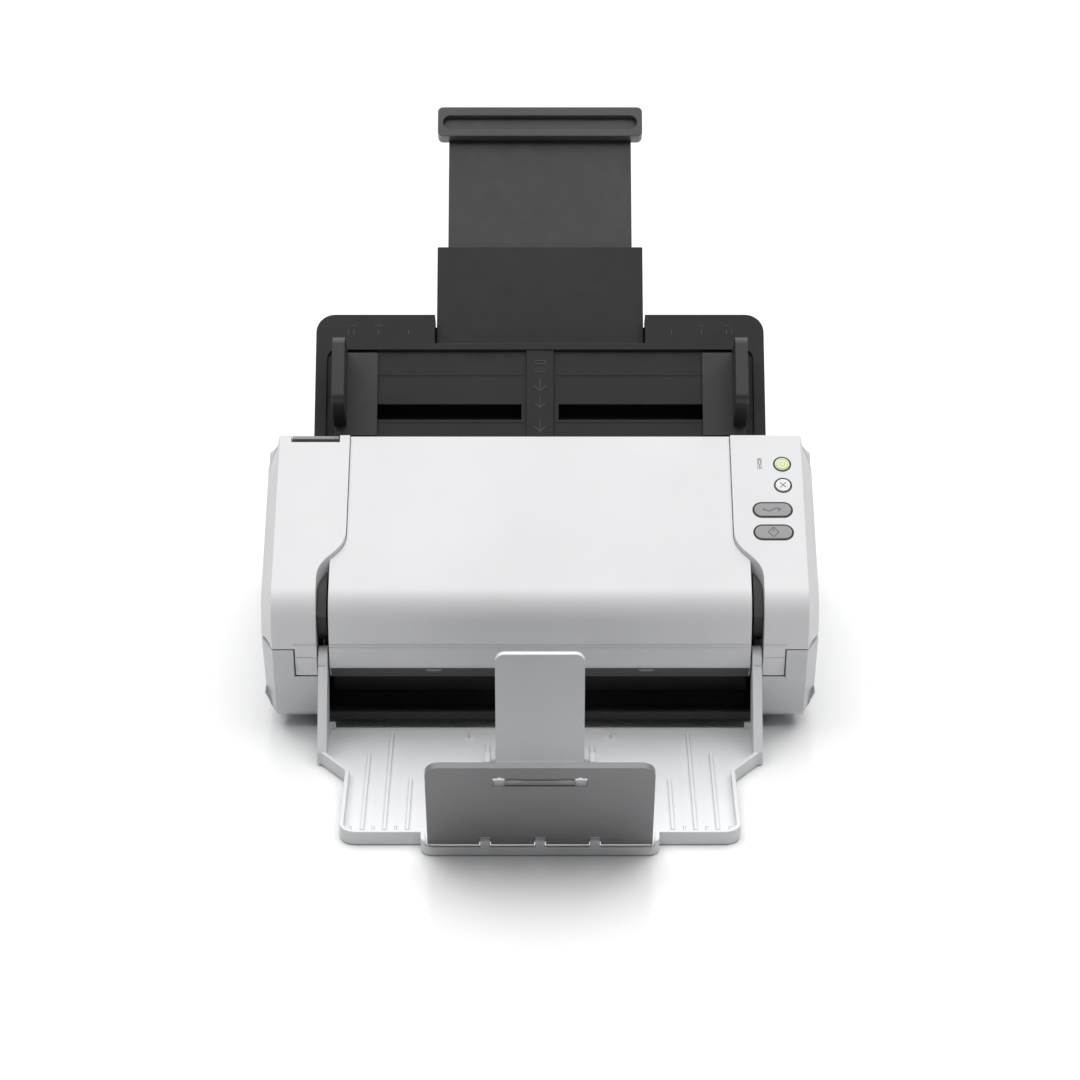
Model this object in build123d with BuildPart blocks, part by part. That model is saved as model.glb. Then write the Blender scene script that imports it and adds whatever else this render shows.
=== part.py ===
"""Sheet-fed document scanner: tilting front cover, folding eject tray with two stoppers,
fixed document tray with a two-stage slide-out extension, geared paper guides, roller drive.

Millimetres, X to the right seen from the front, Y to the rear, Z up.  The origin is on the
desk, under the middle of the whole scanner.  Most profiles are drawn in one of three frames:
  body frame   Y and Z, with Y counted from the seam line at the front face
  path frame   s up the sheet path from the cover hinge, n square to the path, up to the front
  tray frame   a up the document tray from its foot, n square to the tray, up to the front
"""
import os
from math import atan2, ceil, cos, pi, radians, sin, sqrt, tan

from build123d import *

# ---------------------------------------------------------------- driving dimensions
# widths, from the middle outwards
sheet_width = 216.0         # widest sheet between the paper guides
frame_clear = 5.6           # from the sheet edge to the inside of a side frame
cheek_width = 30.2          # side housing, from its inner wall to the widest point
arm_thick = 5.0             # arms that carry the eject tray
side_gap = 0.7              # between an arm and what it swings beside

# body profile
foot_height = 6.0
toe = (12.0, 11.0)          # lower front edge of the body
seam_height = 55.7          # joint between the base and the front cover
corner = (1.6, 81.8)        # where the front face meets the slope
corner_radius = 20.0
slope_angle = 30.0
slope_length = 110.7
body_depth = 217.0
rear_height = 118.0         # top of the upright rear wall
side_rear_height = 70.0     # rear end of a side cover's top
bevel_width = 6.5           # width and reach of the facet along the body's sides
bevel_reach = 14.0
wall = 2.5
panel_inset = 2.2           # centre cover below the side housings
cover_gap = 0.6             # parting gap round the front cover

# hinge shared by the front cover and the eject tray
hinge = (8.0, 45.0)
hinge_pin_radius = 2.5
running = 0.05              # radial clearance of a pin in a moving bore
tab_width = 11.7
tab_radius = 8.0

# sheet path
path_angle = 40.0
path_drop = 10.5            # sheet plane below the cover hinge
path_gap = 1.4              # between the lower and the upper guide plate
guide_plate = 2.0
feed_distance = 135.0       # from the hinge to the foot of the document tray
roller_radius = 8.0
idler_radius = 5.0
separator_radius = 8.0
shaft_radius = 3.0
pulley_radius = 6.0
nip_gap = 0.3
eject_s, lower_s, upper_s, feed_s = 10.0, 44.0, 84.5, 103.0
tyre_length = 14.0
inner_tyre_x, outer_tyre_x = 24.0, 62.0
idler_length = 9.0
sensor_s = 64.0
sensor_stagger = 4.0
sensor_length = 15.0
sensor_depth = 12.0

motor_s, motor_n = 62.0, -50.0

# eject tray
tray_rear = 6.6
tray_wide_y = -23.9
tray_narrow_y = -44.8
tray_narrow_x = 102.7
tray_front = -106.6
tongue_reach = 10.5
tongue_x = 60.7
tray_clear = 0.5            # under the tray
tray_floor = 3.0
tray_rim_height = 8.0
tray_rim = 2.2
tray_rear_sill = 4.2        # top of the low sill along the rear edge
arm_end_radius = 8.0
inner_stop_y = -32.6
inner_stop_size = (47.0, 67.5, 3.5)
inner_stop_axis = 6.2
inner_rib_x = 27.9
front_stop_size = (114.0, 61.5, 4.0)
front_stop_lean = 22.0
front_stop_axis = 8.5
front_stop_setback = 2.6
lug_spacing = 27.8
lug_width = 5.0

# document tray
tray_angle = 48.0
tray_length = 75.2
tray_half = sheet_width / 2 + 18.0
tray_corner = 10.5
tray_recess_half = sheet_width / 2 + 11.5
tray_band = 21.0
tray_recess = 2.0
tray_skin = 1.8
strip_half = 7.7
strip_height = 1.4
notch_half = 59.2
notch_depth = 17.0
slot_low, slot_high = 13.5, 22.5
slot_inner, slot_outer = 10.5, sheet_width / 2 + 4.0
tray_total = 15.4           # front face to the back shell
lower_ext_half = 58.4
lower_ext_end = (46.0, 118.8)
lower_ext_layer = (-12.4, -7.6)
lower_ext_skin = 2.0
upper_ext_half = 52.4
upper_ext_end = (108.0, 185.4)
upper_ext_layer = (-12.2, -9.8)
grip_half = 58.8
grip_length = 18.0
grip_layer = (-13.6, -3.6)

# paper guides
guide_wall = 7.0
guide_height = 27.0
guide_end = (9.0, 53.6)
guide_plate_width = 17.0
guide_plate_end = (3.6, 52.5)
guide_plate_thick = 1.6
guide_lift = 0.3
rack_layer = (-6.8, -4.4)
rack_module = 1.0
pinion_teeth = 12
rack_width = 4.2
pinion_a = 18.0
post_radius = 2.0

# buttons, centred on the right housing
button_travel = 0.8
button_gap = 0.6
round_button_radius = 4.1
pill_size = (20.2, 8.6)
power_place = (-10.8, 91.1)
stop_place = (-10.9, 77.1)
usb_place = (-17.2, 60.9)
pc_place = (-17.3, 46.3)
light_place = (-23.1, 91.4)
light_size = (2.4, 7.0)

# release lever
lever_x = (-sheet_width / 2 - 28.0, -sheet_width / 2 - 2.4)
lever_slot = 5.2

# ---------------------------------------------------------------- derived stations
half_sheet = sheet_width / 2
frame_x = half_sheet + frame_clear
frame_thick = 2.5
arm_x = frame_x
centre_half = arm_x - side_gap - 0.2
cheek_x = arm_x + arm_thick + side_gap
bulge_x = cheek_x + cheek_width
crease_x = bulge_x - bevel_width
tab_end = cheek_x + tab_width
phi = radians(path_angle)
tau = radians(tray_angle)
sigma = radians(slope_angle)
slope_end = (corner[0] + slope_length * cos(sigma), corner[1] + slope_length * sin(sigma))
cover_radius = sqrt((slope_end[0] - hinge[0]) ** 2 + (slope_end[1] - hinge[1]) ** 2)
guide_n = -path_drop - path_gap / 2
cover_n = -path_drop + path_gap / 2
roller_n = -path_drop - nip_gap / 2 - roller_radius
foot_y = hinge[0] + feed_distance * cos(phi) + path_drop * sin(phi)
foot_z = hinge[1] + feed_distance * sin(phi) - path_drop * cos(phi)
tongue_front = tray_front - tongue_reach
front_stop_y = tongue_front + front_stop_setback
lean = radians(front_stop_lean)
front_most = (front_stop_y - front_stop_size[1] * sin(lean) - front_stop_size[2] / 2 * cos(lean))
grip_top = upper_ext_end[1] + grip_length
rear_most = foot_y + grip_top * cos(tau) - grip_layer[0] * sin(tau)
seam_y = -(front_most + rear_most) / 2


def body_side(x):
    """The body frame's Y-Z plane at one X."""
    return Plane(origin=(x, seam_y, 0), x_dir=(0, 1, 0), z_dir=(1, 0, 0))


def body_top(z):
    """The body frame's plan at one height: X across, Y to the rear."""
    return Plane(origin=(0, seam_y, z), x_dir=(1, 0, 0), z_dir=(0, 0, 1))


def path_side(x):
    """The path frame's s-n plane at one X."""
    return Plane(origin=(x, seam_y + hinge[0], hinge[1]), x_dir=(0, cos(phi), sin(phi)),
                 z_dir=(1, 0, 0))


def path_face(n):
    """X across and s up the path, at one height over the hinge."""
    return Plane(origin=(0, seam_y + hinge[0] - n * sin(phi), hinge[1] + n * cos(phi)),
                 x_dir=(1, 0, 0), z_dir=(0, -sin(phi), cos(phi)))


def tray_side(x):
    """The tray frame's a-n plane at one X."""
    return Plane(origin=(x, seam_y + foot_y, foot_z), x_dir=(0, cos(tau), sin(tau)),
                 z_dir=(1, 0, 0))


def tray_face(n):
    """X across and a up the document tray, at one height over its front face."""
    return Plane(origin=(0, seam_y + foot_y - n * sin(tau), foot_z + n * cos(tau)),
                 x_dir=(1, 0, 0), z_dir=(0, -sin(tau), cos(tau)))


def slope_face(n):
    """X across and distance up the slope from its lower corner, at one height over it."""
    return Plane(origin=(0, seam_y + corner[0] - n * sin(sigma), corner[1] + n * cos(sigma)),
                 x_dir=(1, 0, 0), z_dir=(0, -sin(sigma), cos(sigma)))


def outline(*points, mode=Mode.ADD):
    """A closed straight-sided face through the points."""
    with BuildLine() as rim:
        Polyline(*points, close=True)
    make_face(rim.edges(), mode=mode)


def slab(low, high):
    """A rectangle from one corner to the other."""
    with Locations(((low[0] + high[0]) / 2, (low[1] + high[1]) / 2)):
        Rectangle(high[0] - low[0], high[1] - low[1])


def path_point(s, n):
    """A path-frame point in the body frame."""
    return (hinge[0] + s * cos(phi) - n * sin(phi), hinge[1] + s * sin(phi) + n * cos(phi))


def tray_point(a, n):
    """A tray-frame point in the body frame."""
    return (foot_y + a * cos(tau) - n * sin(tau), foot_z + a * sin(tau) + n * cos(tau))


# ---------------------------------------------------------------- body outlines
face_tilt = atan2(corner[0], corner[1] - seam_height)
toe_slope = (toe[0] - 0.0) / (seam_height - toe[1])
swing_radius = sqrt(hinge[0] ** 2 + (seam_height - cover_gap / 2 - hinge[1]) ** 2) + 0.1
slope_over = (slope_end[0] + 20 * cos(sigma), slope_end[1] + 20 * sin(sigma))


def front_outline(inset, drop, reach=0.0):
    """The cover's side view over the parting line, pulled in at the front and lowered."""
    top_in = (slope_over[0] + inset * sin(sigma), slope_over[1] - inset * cos(sigma))
    turn = inset * tan((pi / 2 - sigma - face_tilt) / 2)
    corner_in = (corner[0] + inset, corner[1] - turn)
    parting = path_point(cover_radius + 25, cover_gap / 2 - drop)
    rise = path_point(18.0, cover_gap / 2 - drop)
    with BuildLine() as rim:
        face = FilletPolyline((inset, seam_height + cover_gap / 2 - drop), corner_in, top_in,
                              radius=corner_radius)
        Polyline(face @ 1, parting, rise, face @ 0)
    make_face(rim.edges())
    with Locations(hinge):
        Circle(cover_radius - inset + reach, mode=Mode.INTERSECT)


def base_outline(inset, lift):
    """A side cover's side view under the parting line, pulled in all round."""
    low = foot_height + inset
    side_top = path_point(cover_radius + 1.2 - lift, -cover_gap / 2 - inset)
    outline((toe[0] + 6, low),
            (toe[0] + inset, max(toe[1], low + 0.5)),
            (inset, seam_height - cover_gap / 2 - inset + lift),
            path_point(18.0, -cover_gap / 2 - inset + lift),
            (side_top[0], side_top[1] + lift),
            (body_depth - 26 - inset / 2, side_rear_height + 14 - inset + lift),
            (body_depth - inset, side_rear_height - 6 - inset + lift),
            (body_depth - inset, low + 6),
            (body_depth - 6, low))


def housing_plan(shift):
    """The side housings' plan outside their S-shaped inner edge."""
    low_x = cheek_x + shift
    high_x = cheek_x - 14.9 + shift
    with BuildLine() as rim:
        wave = Spline((low_x, 16.4), (high_x, 43.1), tangents=((0, 1), (0, 1)))
        Polyline(wave @ 1, (high_x, 160), (bulge_x + 9, 160), (bulge_x + 9, -20),
                 (low_x, -20), wave @ 0)
    make_face(rim.edges())


# ---------------------------------------------------------------- front cover unit
with BuildPart() as housing_cavity:
    with BuildSketch(body_side(cheek_x - 30)):
        front_outline(wall, 12)
    extrude(amount=crease_x - wall - cheek_x + 30)
    with BuildSketch(body_top(0)):
        housing_plan(wall)
    extrude(amount=300, mode=Mode.INTERSECT)

with BuildPart() as housing_blank:
    with BuildSketch(body_side(cheek_x - 30)):
        front_outline(0, 0)
    extrude(amount=crease_x - cheek_x + 30)
    with BuildSketch(body_side(crease_x)):
        front_outline(0, 0)
    with BuildSketch(body_side(bulge_x)):
        front_outline(bevel_reach, -1.2)
    loft(ruled=True)
    with BuildSketch(body_top(0)):
        housing_plan(0)
    extrude(amount=300, mode=Mode.INTERSECT)
    add(housing_cavity.part, mode=Mode.SUBTRACT)
    with BuildSketch(path_side(cheek_x - 30)):
        slab((16, -5), (cover_radius + 5, 9))
    extrude(amount=centre_half + 0.2 - cheek_x + 30, mode=Mode.SUBTRACT)
    with BuildSketch(body_side(cheek_x)):
        with Locations(hinge):
            Circle(tab_radius)
        outline((0, seam_height + 3), (toe_slope * 13.7, seam_height - 13.7),
                (hinge[0], hinge[1] - tab_radius + 2), (hinge[0] + tab_radius, hinge[1]),
                (hinge[0] + tab_radius, seam_height + 3))
        outline((-20, 0), (toe[0], toe[1]), (0, seam_height), (-20, 90), mode=Mode.SUBTRACT)
    extrude(amount=tab_width)
    with BuildSketch(body_side(tab_end)):
        with Locations(hinge):
            Circle(swing_radius)
    extrude(amount=bulge_x + 1 - tab_end, mode=Mode.SUBTRACT)
    with BuildSketch(body_side(cheek_x - 1)):
        with Locations(hinge):
            Circle(hinge_pin_radius + running)
    extrude(amount=tab_width + 2, mode=Mode.SUBTRACT)


def button_hole(place, size):
    """A through hole in the slope for a round button or a pill."""
    with Locations(place):
        if isinstance(size, tuple):
            SlotOverall(size[0] + 2 * button_gap, size[1] + 2 * button_gap)
        else:
            Circle(size + button_gap)


def on_panel(place):
    """A place on the right housing's slope, given from its crease."""
    return (crease_x + place[0], place[1])


buttons = {"power_button": (on_panel(power_place), round_button_radius),
           "stop_button": (on_panel(stop_place), round_button_radius),
           "usb_scan_button": (on_panel(usb_place), pill_size),
           "pc_scan_button": (on_panel(pc_place), pill_size)}

with BuildPart() as right_front_housing:
    add(housing_blank.part)
    with BuildSketch(slope_face(-8)):
        for place, size in buttons.values():
            button_hole(place, size)
        with Locations(on_panel(light_place)):
            Rectangle(*light_size)
    extrude(amount=12, mode=Mode.SUBTRACT)

with BuildPart() as left_front_housing:
    mirror(housing_blank.part, about=Plane.YZ)
    with BuildSketch(path_side(lever_x[0] - 0.5)):
        slab((cover_radius - lever_slot, -1), (cover_radius + 4, 30))
    extrude(amount=lever_x[1] - lever_x[0] + 1, mode=Mode.SUBTRACT)

# ----- centre cover: the sloping skin between the housings, with the lip over the exit
lip = (path_point(-6.0, cover_n + 2.2), path_point(-1.0, cover_n))
with BuildPart() as centre_cover:
    with BuildSketch(body_side(-centre_half)):
        front_outline(panel_inset, 0, panel_inset)
        outline((toe_slope * 12.7, seam_height - 12.7), lip[0], (hinge[0] + 6, seam_height + 4),
                (panel_inset, seam_height + 2))
    extrude(amount=2 * centre_half)
    with BuildSketch(body_side(-centre_half - 1)):
        front_outline(panel_inset + wall, 16)
        with BuildLine() as void_rim:
            Polyline((toe_slope * 12.7 + 2.4, seam_height - 12.0), (lip[0][0] + 1.6, lip[0][1] + 1.5),
                     (hinge[0] + 12, hinge[1]), (hinge[0] + 12, seam_height + 6),
                     (panel_inset + wall, seam_height + 6), close=True)
        make_face(void_rim.edges())
    extrude(amount=2 * centre_half + 2, mode=Mode.SUBTRACT)
    with BuildSketch(body_top(0)):
        housing_plan(-0.3)
        mirror(about=Plane.YZ)
    extrude(amount=300, mode=Mode.SUBTRACT)

# ----- upper guide plate with side rails that carry the whole cover
upper_end = cover_radius - 3.2
rail_in, rail_out = arm_x + 0.3, cheek_x - 0.3
with BuildPart() as upper_path_guide:
    with BuildSketch(path_side(-centre_half)):
        outline((1.0, cover_n), (upper_end - 2, cover_n), (upper_end, cover_n + 1.4),
                (upper_end - 0.4, cover_n + guide_plate + 0.6), (upper_end - 2.4, cover_n + guide_plate),
                (1.0, cover_n + guide_plate))
    extrude(amount=2 * centre_half)
    with BuildSketch(path_face(cover_n - 1)):
        for s in (eject_s, lower_s, upper_s):
            with Locations((-outer_tyre_x, s), (outer_tyre_x, s)):
                Rectangle(idler_length + 3, 2 * idler_radius + 2)
        with Locations((0, feed_s)):
            Rectangle(2 * inner_tyre_x + tyre_length + 4, 2 * separator_radius + 2)
        with Locations((0, sensor_s - sensor_stagger)):
            Rectangle(2 * half_sheet + 2, sensor_length - 1)
    extrude(amount=5, mode=Mode.SUBTRACT)

side_rail_profile = ((12.0, 1.0), (upper_end - 6, 1.0), (upper_end - 8, 8.0), (60.0, 17.0),
                     (30.0, 23.0), (16.0, 22.0), (11.0, 12.0))
with BuildPart() as cover_rails:
    with BuildSketch(path_side(rail_in)):
        outline(*side_rail_profile)
    extrude(amount=rail_out - rail_in)
    with BuildSketch(path_side(rail_in + 2)):
        outline((18.0, 3.0), (upper_end - 10, 3.0), (upper_end - 11, 6.4), (58.0, 14.6),
                (30.0, 20.4), (18.4, 19.6))
    extrude(amount=rail_out - rail_in, mode=Mode.SUBTRACT)
    with BuildSketch(body_top(0)):
        housing_plan(-0.3)
    extrude(amount=300, mode=Mode.SUBTRACT)
    mirror(about=Plane.YZ)


def cross_axle(s, n, radius, half):
    """A round bar across the cover or the base."""
    with BuildSketch(path_side(-half)) as section:
        with Locations((s, n)):
            Circle(radius)
    extrude(section.sketch, amount=2 * half)


idler_n = -path_drop + nip_gap / 2 + idler_radius
separator_n = -path_drop + nip_gap / 2 + separator_radius
axle_radius = 1.5
with BuildPart() as idler_axles:
    for s in (eject_s, lower_s, upper_s):
        cross_axle(s, idler_n, axle_radius, centre_half - 1)
    cross_axle(feed_s, separator_n, axle_radius, centre_half - 1)


def rollers(s, n, radius, bore, half_places, length):
    """Equal rollers on one axle at mirrored places."""
    for x in half_places:
        with BuildSketch(path_side(x - length / 2)) as ring:
            with Locations((s, n)):
                Circle(radius)
                Circle(bore, mode=Mode.SUBTRACT)
        extrude(ring.sketch, amount=length)


with BuildPart() as eject_idlers:
    rollers(eject_s, idler_n, idler_radius, axle_radius + running,
            (-outer_tyre_x, outer_tyre_x), idler_length)
with BuildPart() as lower_idlers:
    rollers(lower_s, idler_n, idler_radius, axle_radius + running,
            (-outer_tyre_x, outer_tyre_x), idler_length)
with BuildPart() as upper_idlers:
    rollers(upper_s, idler_n, idler_radius, axle_radius + running,
            (-outer_tyre_x, outer_tyre_x), idler_length)
with BuildPart() as separation_roller:
    rollers(feed_s, separator_n, separator_radius, axle_radius + running,
            (0,), 2 * inner_tyre_x + tyre_length)

# ----- image sensor in the cover, its glass, the buttons' board and the warning light
with BuildPart() as upper_glass:
    with BuildSketch(path_side(-half_sheet)):
        slab((sensor_s - sensor_stagger - sensor_length / 2 + 1, cover_n + 0.1),
             (sensor_s - sensor_stagger + sensor_length / 2 - 1, cover_n + guide_plate - 0.1))
    extrude(amount=2 * half_sheet)
with BuildPart() as upper_sensor:
    with BuildSketch(path_side(-half_sheet)):
        slab((sensor_s - sensor_stagger - sensor_length / 2, cover_n + guide_plate),
             (sensor_s - sensor_stagger + sensor_length / 2, cover_n + guide_plate + sensor_depth))
    extrude(amount=2 * half_sheet)

board_n = -5.6
with BuildPart() as button_board:
    with BuildSketch(slope_face(board_n)):
        slab((cheek_x - 2, 38), (crease_x - 4, 98))
    extrude(amount=-1.6)
with BuildPart() as warning_light:
    with BuildSketch(slope_face(board_n)):
        with Locations(on_panel(light_place)):
            Rectangle(light_size[0] - 0.2, light_size[1] - 0.2)
    extrude(amount=-board_n - 0.2)


def button(place, size):
    """A cap with its stem, standing just proud of the slope over the board."""
    with BuildSketch(slope_face(-wall - 0.4)) as cap:
        with Locations(place):
            if isinstance(size, tuple):
                SlotOverall(*size)
            else:
                Circle(size)
    extrude(cap.sketch, amount=wall + 0.9)
    fillet(faces().sort_by(slope_axis)[-1].edges(), 0.6)
    with BuildSketch(slope_face(board_n + button_travel + 0.1)) as stem:
        with Locations(place):
            Circle(1.6)
    extrude(stem.sketch, amount=-board_n - wall - button_travel)


slope_axis = Axis((0, 0, 0), (0, -sin(sigma), cos(sigma)))
with BuildPart() as power_button:
    button(*buttons["power_button"])
with BuildPart() as stop_button:
    button(*buttons["stop_button"])
with BuildPart() as usb_scan_button:
    button(*buttons["usb_scan_button"])
with BuildPart() as pc_scan_button:
    button(*buttons["pc_scan_button"])

# ----- release lever in the left housing and the latch rod it turns
rod_s, rod_n, rod_radius = cover_radius - 8.0, 3.0, 2.0
with BuildPart() as lever_blank:
    with BuildSketch(path_side(lever_x[0])):
        outline((rod_s - 3.4, rod_n - 2.6), (rod_s + 3.4, rod_n - 2.6), (cover_radius - 0.9, rod_n + 2),
                (cover_radius - 0.9, 12.4), (cover_radius - 3.4, 13.9), (cover_radius - 4.0, rod_n + 4),
                (rod_s - 3.4, rod_n + 3.2))
        with Locations((rod_s, rod_n)):
            Circle(rod_radius, mode=Mode.SUBTRACT)
    extrude(amount=lever_x[1] - lever_x[0])
hook_x = (frame_x + frame_thick + 0.5, frame_x + frame_thick + 2.3)
hook_pin = (cover_radius - 13.0, -6.0)
hook_pin_radius = 1.5
with BuildPart() as latch_rod:
    cross_axle(rod_s, rod_n, rod_radius, -lever_x[0])
    for x in (hook_x[0], -hook_x[1]):
        with BuildSketch(path_side(x)):
            with Locations((rod_s, rod_n)):
                Circle(3.2)
            outline((rod_s - 2.4, rod_n), (rod_s + 2.4, rod_n), (rod_s + 1.4, -10.0),
                    (rod_s - 3.2, -10.0), (rod_s - 3.2, -8.4), (rod_s - 1.6, -7.4))
        extrude(amount=hook_x[1] - hook_x[0])
with BuildPart() as release_lever:
    add(lever_blank.part)
    with BuildSketch(path_side(-hook_x[1] - 0.3)):
        slab((rod_s - 6, rod_n - 6), (rod_s + 6, rod_n + 4.6))
    extrude(amount=hook_x[1] - hook_x[0] + 0.6, mode=Mode.SUBTRACT)

# ---------------------------------------------------------------- base housing
with BuildPart() as side_cavity:
    with BuildSketch(body_side(cheek_x + wall)):
        base_outline(wall, 0)
    extrude(amount=crease_x - wall - cheek_x - wall)
    with BuildSketch(body_side(cheek_x - 1)):
        base_outline(wall, 0)
        with Locations((-1, 100)):
            Rectangle(38, 240, mode=Mode.SUBTRACT)
    extrude(amount=wall + 2)

with BuildPart() as right_side_cover:
    with BuildSketch(body_side(cheek_x)):
        base_outline(0, 0)
    extrude(amount=crease_x - cheek_x)
    with BuildSketch(body_side(crease_x)):
        base_outline(0, 0)
    with BuildSketch(body_side(bulge_x)):
        base_outline(bevel_reach, bevel_reach)
    loft(ruled=True)
    add(side_cavity.part, mode=Mode.SUBTRACT)
    with BuildSketch(body_side(tab_end + 0.6)):
        with Locations((hinge[0] + 1, hinge[1] - 1)):
            Rectangle(2 * hinge[0], 2 * hinge[0])
    extrude(amount=crease_x - wall - tab_end - 0.6)
    with BuildSketch(body_side(cheek_x - 1)):
        with Locations(hinge):
            Circle(tab_radius + 0.7)
        slab((-5, hinge[1] - 3), (hinge[0] + tab_radius + 0.7, seam_height + 6))
    extrude(amount=tab_width + 1.6, mode=Mode.SUBTRACT)
    with BuildSketch(body_side(tab_end)):
        with Locations(hinge):
            Circle(hinge_pin_radius)
    extrude(amount=9, mode=Mode.SUBTRACT)
    with BuildSketch(tray_side(0)):
        slab((-30, -tray_total - 0.6), (tray_length, 40))
    extrude(amount=tray_half + 0.6, mode=Mode.SUBTRACT)
with BuildPart() as left_side_cover:
    mirror(right_side_cover.part, about=Plane.YZ)

# ----- floor pan, feet and the guides' frames
pan_half = cheek_x - 0.2
with BuildPart() as base_pan:
    with BuildSketch(body_top(foot_height)):
        slab((-pan_half, toe[0]), (pan_half, body_depth))
    extrude(amount=wall)
    with BuildSketch(body_top(foot_height)):
        slab((-pan_half, toe[0]), (pan_half, toe[0] + 2.4))
    extrude(amount=toe[1] - foot_height)
    with BuildSketch(body_top(foot_height + wall)):
        with Locations((-60, 70), (60, 70), (-60, 180), (60, 180)):
            Circle(4)
            Circle(1.4, mode=Mode.SUBTRACT)
    extrude(amount=8)

foot_x, foot_front, foot_rear = 100.0, 34.0, body_depth - 22.0
with BuildPart() as rubber_feet:
    with BuildSketch(body_top(0)):
        with Locations((-foot_x, foot_front), (foot_x, foot_front),
                       (-foot_x, foot_rear), (foot_x, foot_rear)):
            Circle(8)
    extrude(amount=foot_height)

frame_profile = ((13.0, -1.6), (cover_radius - 4, -1.6), (cover_radius + 4.0, -6.0),
                 (cover_radius + 4.0, -26.0))
with BuildPart() as right_side_frame:
    with BuildSketch(path_side(frame_x)):
        outline(*frame_profile, (60.0, -64.0), (32.0, -44.0), (14.0, -30.0))
        with Locations(*[(s, roller_n) for s in (eject_s, lower_s, upper_s, feed_s)]):
            Circle(shaft_radius + 2.0, mode=Mode.SUBTRACT)
        with Locations((motor_s, motor_n)):
            Circle(4, mode=Mode.SUBTRACT)
    extrude(amount=frame_thick)
    with BuildSketch(path_side(frame_x + frame_thick)):
        with Locations(hook_pin):
            Circle(hook_pin_radius)
    extrude(amount=3.0)
with BuildPart() as left_side_frame:
    mirror(right_side_frame.part, about=Plane.YZ)
with BuildPart() as shaft_bushes:
    for s in (eject_s, lower_s, upper_s, feed_s):
        for x in (frame_x, -frame_x - frame_thick):
            with BuildSketch(path_side(x)):
                with Locations((s, roller_n)):
                    Circle(shaft_radius + 2.0)
                    Circle(shaft_radius + running, mode=Mode.SUBTRACT)
            extrude(amount=frame_thick)

# ----- lower guide plate with its roller and sensor windows, and the wall behind the exit
with BuildPart() as lower_path_guide:
    with BuildSketch(path_side(-frame_x + 0.2)):
        outline((6.0, guide_n - 1.2), (8.0, guide_n), (feed_distance - 2.4, guide_n),
                (feed_distance - 2.4, guide_n - guide_plate), (6.0, guide_n - guide_plate))
    extrude(amount=2 * frame_x - 0.4)
    with BuildSketch(path_face(guide_n + 1)):
        for s in (eject_s, lower_s, upper_s):
            with Locations((-outer_tyre_x, s), (outer_tyre_x, s)):
                Rectangle(tyre_length + 2, 2 * roller_radius - 2)
        with Locations((-inner_tyre_x, feed_s), (inner_tyre_x, feed_s)):
            Rectangle(tyre_length + 2, 2 * roller_radius - 2)
        with Locations((0, sensor_s + sensor_stagger)):
            Rectangle(2 * half_sheet + 2, sensor_length - 1)
    extrude(amount=-5, mode=Mode.SUBTRACT)
with BuildPart() as exit_wall:
    with BuildSketch(body_side(-frame_x + 0.4)):
        outline((38, 44), (36, 40), (35, 12), (26, foot_height + wall), (29, foot_height + wall),
                (37, 11.4), (38, 39), (40, 43.4))
    extrude(amount=2 * frame_x - 0.8)
with BuildPart() as lower_glass:
    with BuildSketch(path_side(-half_sheet)):
        slab((sensor_s + sensor_stagger - sensor_length / 2 + 1, guide_n - guide_plate + 0.1),
             (sensor_s + sensor_stagger + sensor_length / 2 - 1, guide_n - 0.1))
    extrude(amount=2 * half_sheet)
with BuildPart() as lower_sensor:
    with BuildSketch(path_side(-half_sheet)):
        slab((sensor_s + sensor_stagger - sensor_length / 2, guide_n - guide_plate - sensor_depth),
             (sensor_s + sensor_stagger + sensor_length / 2, guide_n - guide_plate))
    extrude(amount=2 * half_sheet)

# ----- driven rollers: shafts with their pulleys, and rubber tyres
pulley_x = (-frame_x - frame_thick - 9.5, -frame_x - frame_thick - 3.0)


def drive_shaft(s, n, right_end):
    """A shaft through both frames with a toothless pulley on its left end."""
    with BuildSketch(path_side(pulley_x[0])) as pulley:
        with Locations((s, n)):
            Circle(pulley_radius)
    extrude(pulley.sketch, amount=pulley_x[1] - pulley_x[0])
    with BuildSketch(path_side(pulley_x[1])) as bar:
        with Locations((s, n)):
            Circle(shaft_radius)
    extrude(bar.sketch, amount=right_end - pulley_x[1])


def tyres(s, places):
    """Rubber tyres pressed on a shaft."""
    rollers(s, roller_n, roller_radius, shaft_radius, places, tyre_length)


shaft_end = frame_x + frame_thick
with BuildPart() as eject_shaft:
    drive_shaft(eject_s, roller_n, shaft_end)
with BuildPart() as lower_shaft:
    drive_shaft(lower_s, roller_n, shaft_end)
with BuildPart() as upper_shaft:
    drive_shaft(upper_s, roller_n, shaft_end)
with BuildPart() as feed_shaft:
    drive_shaft(feed_s, roller_n, shaft_end)
with BuildPart() as eject_tyres:
    tyres(eject_s, (-outer_tyre_x, outer_tyre_x))
with BuildPart() as lower_tyres:
    tyres(lower_s, (-outer_tyre_x, outer_tyre_x))
with BuildPart() as upper_tyres:
    tyres(upper_s, (-outer_tyre_x, outer_tyre_x))
with BuildPart() as feed_tyres:
    tyres(feed_s, (-inner_tyre_x, inner_tyre_x))

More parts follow.
